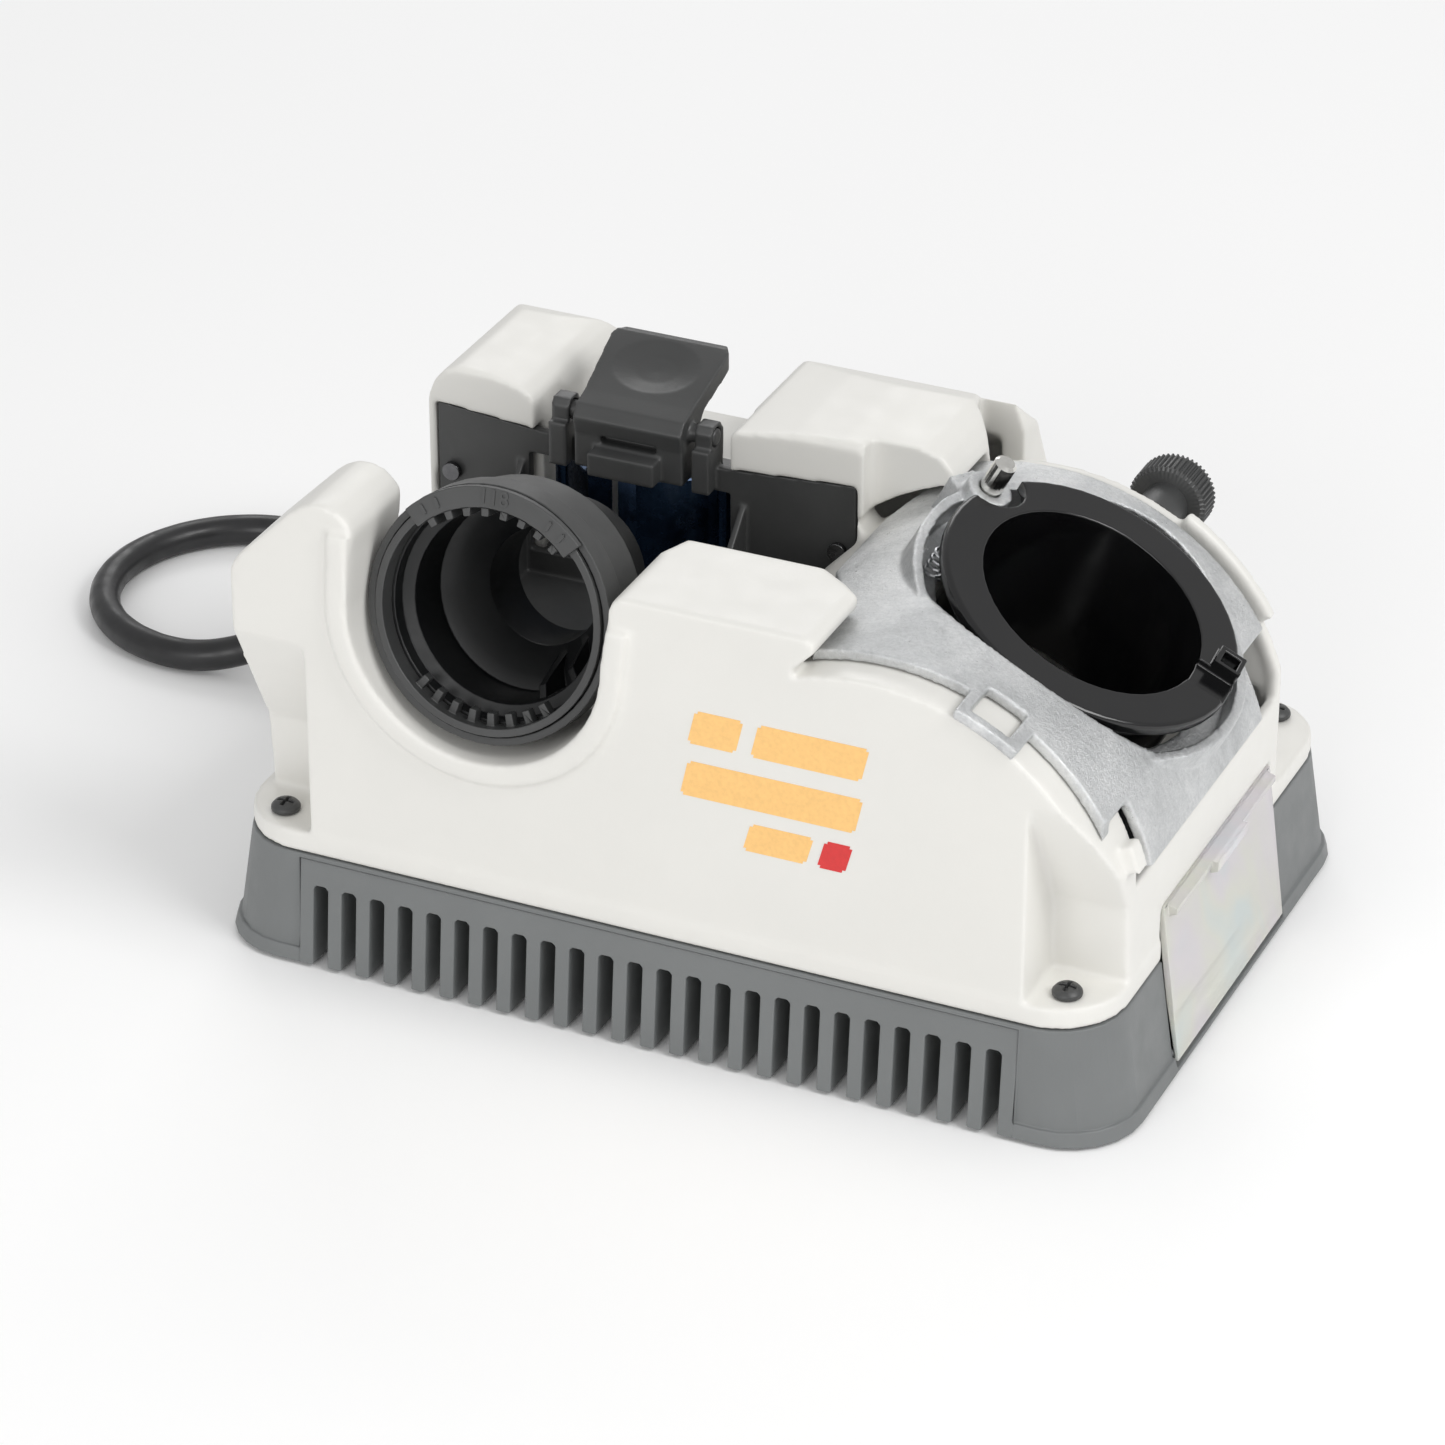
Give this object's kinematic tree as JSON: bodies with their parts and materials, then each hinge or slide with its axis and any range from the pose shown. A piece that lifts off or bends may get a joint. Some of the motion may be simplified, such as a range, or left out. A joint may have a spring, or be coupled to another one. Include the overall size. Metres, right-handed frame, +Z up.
{
  "type": "drill bit sharpener",
  "caption": "Bench-top electric drill bit sharpener with an alignment port, a swivelling sharpening tube, a motor-driven grinding wheel, a debris door, a switch and a mains lead.",
  "frame": {"origin": "middle of the machine's footprint, on the surface its feet rest on; the mains lead isn't counted", "axes": "+Z up, +X towards the end with the clear debris door, -Y towards the front with the alignment port"},
  "size_m": [0.3784, 0.3104, 0.1423],
  "materials": {
    "housing": "satin off-white",
    "base": "satin grey",
    "black_plastic": "satin black",
    "gloss_black": "glossy black",
    "rubber": "matt black",
    "clear": "clear plastic",
    "zinc": "bright as-cast zinc",
    "steel": "satin steel",
    "nickel": "bright nickel",
    "winding": "varnished copper",
    "abrasive": "diamond grit",
    "blue_steel": "dark blued spring steel"
  },
  "bodies": {
    "machine": {"base_tub": "base", "top_housing": "housing", "case_screw_front_left": "black_plastic", "case_screw_front_right": "black_plastic", "case_screw_rear_left": "black_plastic", "case_screw_rear_right": "black_plastic", "foot_front_left": "rubber", "foot_front_right": "rubber", "foot_rear_left": "rubber", "foot_rear_right": "rubber", "alignment_tube": "black_plastic", "alignment_bracket": "black_plastic", "bracket_rivet_left": "nickel", "bracket_rivet_right": "nickel", "pawl_pin_left": "steel", "pawl_pin_right": "steel", "switch_frame": "black_plastic", "motor_stator": "steel", "bearing_fan_end": "steel", "bearing_wheel_end": "steel", "brush_front": "rubber", "brush_rear": "rubber", "strain_relief": "rubber", "cord_lead": "rubber", "cord_coil": "rubber", "cord_tail": "rubber", "plug_body": "rubber", "plug_blade_left": "steel", "plug_blade_right": "steel", "plug_ground_pin": "steel"},
    "saddle": {"saddle_casting": "zinc", "follower_pin": "nickel", "tube_spring": "steel", "lock_stud": "steel"},
    "tube": {"sharpening_tube": "gloss_black"},
    "knob": {"lock_knob": "black_plastic"},
    "collar": {"angle_collar": "black_plastic"},
    "lever": {"release_lever": "black_plastic"},
    "left_pawl": {"pawl_left": "blue_steel"},
    "right_pawl": {"pawl_right": "blue_steel"},
    "rocker": {"switch_rocker": "gloss_black"},
    "door": {"debris_door": "clear"},
    "spindle": {"drive_shaft": "steel", "motor_armature": "winding", "cooling_fan": "black_plastic", "grinding_wheel": "abrasive", "wheel_nut": "steel"}
  },
  "joints": [
    {"name": "saddle_swivel", "type": "hinge", "parent": "machine", "child": "saddle", "pos_m": [0.058, 0, 0.0534], "axis": [0, 1, 0], "range_deg": [-7, 5]},
    {"name": "tube_rock", "type": "hinge", "parent": "saddle", "child": "tube", "pos_m": [0.08036, -0.01309, 0.09743], "axis": [0.0238, 0.9987, 0.0447], "range_deg": [0, 2.5], "stiffness_Nm_per_rad": 2, "springref_deg": -4.58},
    {"name": "lock_knob_turn", "type": "hinge", "parent": "saddle", "child": "knob", "pos_m": [0.08249, 0.055, 0.10664], "axis": [0, 1, 0], "range_deg": [0, 270]},
    {"name": "angle_collar_turn", "type": "hinge", "parent": "machine", "child": "collar", "pos_m": [-0.0486, -0.076, 0.1091], "axis": [0, -0.9744, 0.225], "range_deg": [0, 17]},
    {"name": "lever_press", "type": "hinge", "parent": "machine", "child": "lever", "pos_m": [-0.049, 0.012, 0.123], "axis": [1, 0, 0], "range_deg": [-18, 0], "stiffness_Nm_per_rad": 0.15, "springref_deg": 20.05},
    {"name": "pawl_left_open", "type": "hinge", "parent": "machine", "child": "left_pawl", "pos_m": [-0.0729, 0.0184, 0.095], "axis": [0, 0, 1], "range_deg": [0, 4]},
    {"name": "pawl_right_open", "type": "hinge", "parent": "machine", "child": "right_pawl", "pos_m": [-0.0266, 0.0194, 0.095], "axis": [0, 0, 1], "range_deg": [-4, 0]},
    {"name": "power_rocker", "type": "hinge", "parent": "machine", "child": "rocker", "pos_m": [-0.1154, -0.036, 0.055], "axis": [0, 0, 1], "range_deg": [0, 12]},
    {"name": "door_hinge", "type": "hinge", "parent": "machine", "child": "door", "pos_m": [0.1237, -0.003, 0.006], "axis": [0, 1, 0], "range_deg": [0, 80]},
    {"name": "spindle_spin", "type": "hinge", "parent": "machine", "child": "spindle", "pos_m": [0, -0.0105, 0.031], "axis": [1, 0, 0], "continuous": true}
  ],
  "couplings": [
    {"joint": "pawl_left_open", "follows": "lever_press", "ratio": -0.22222},
    {"joint": "pawl_right_open", "follows": "lever_press", "ratio": 0.22222}
  ]
}
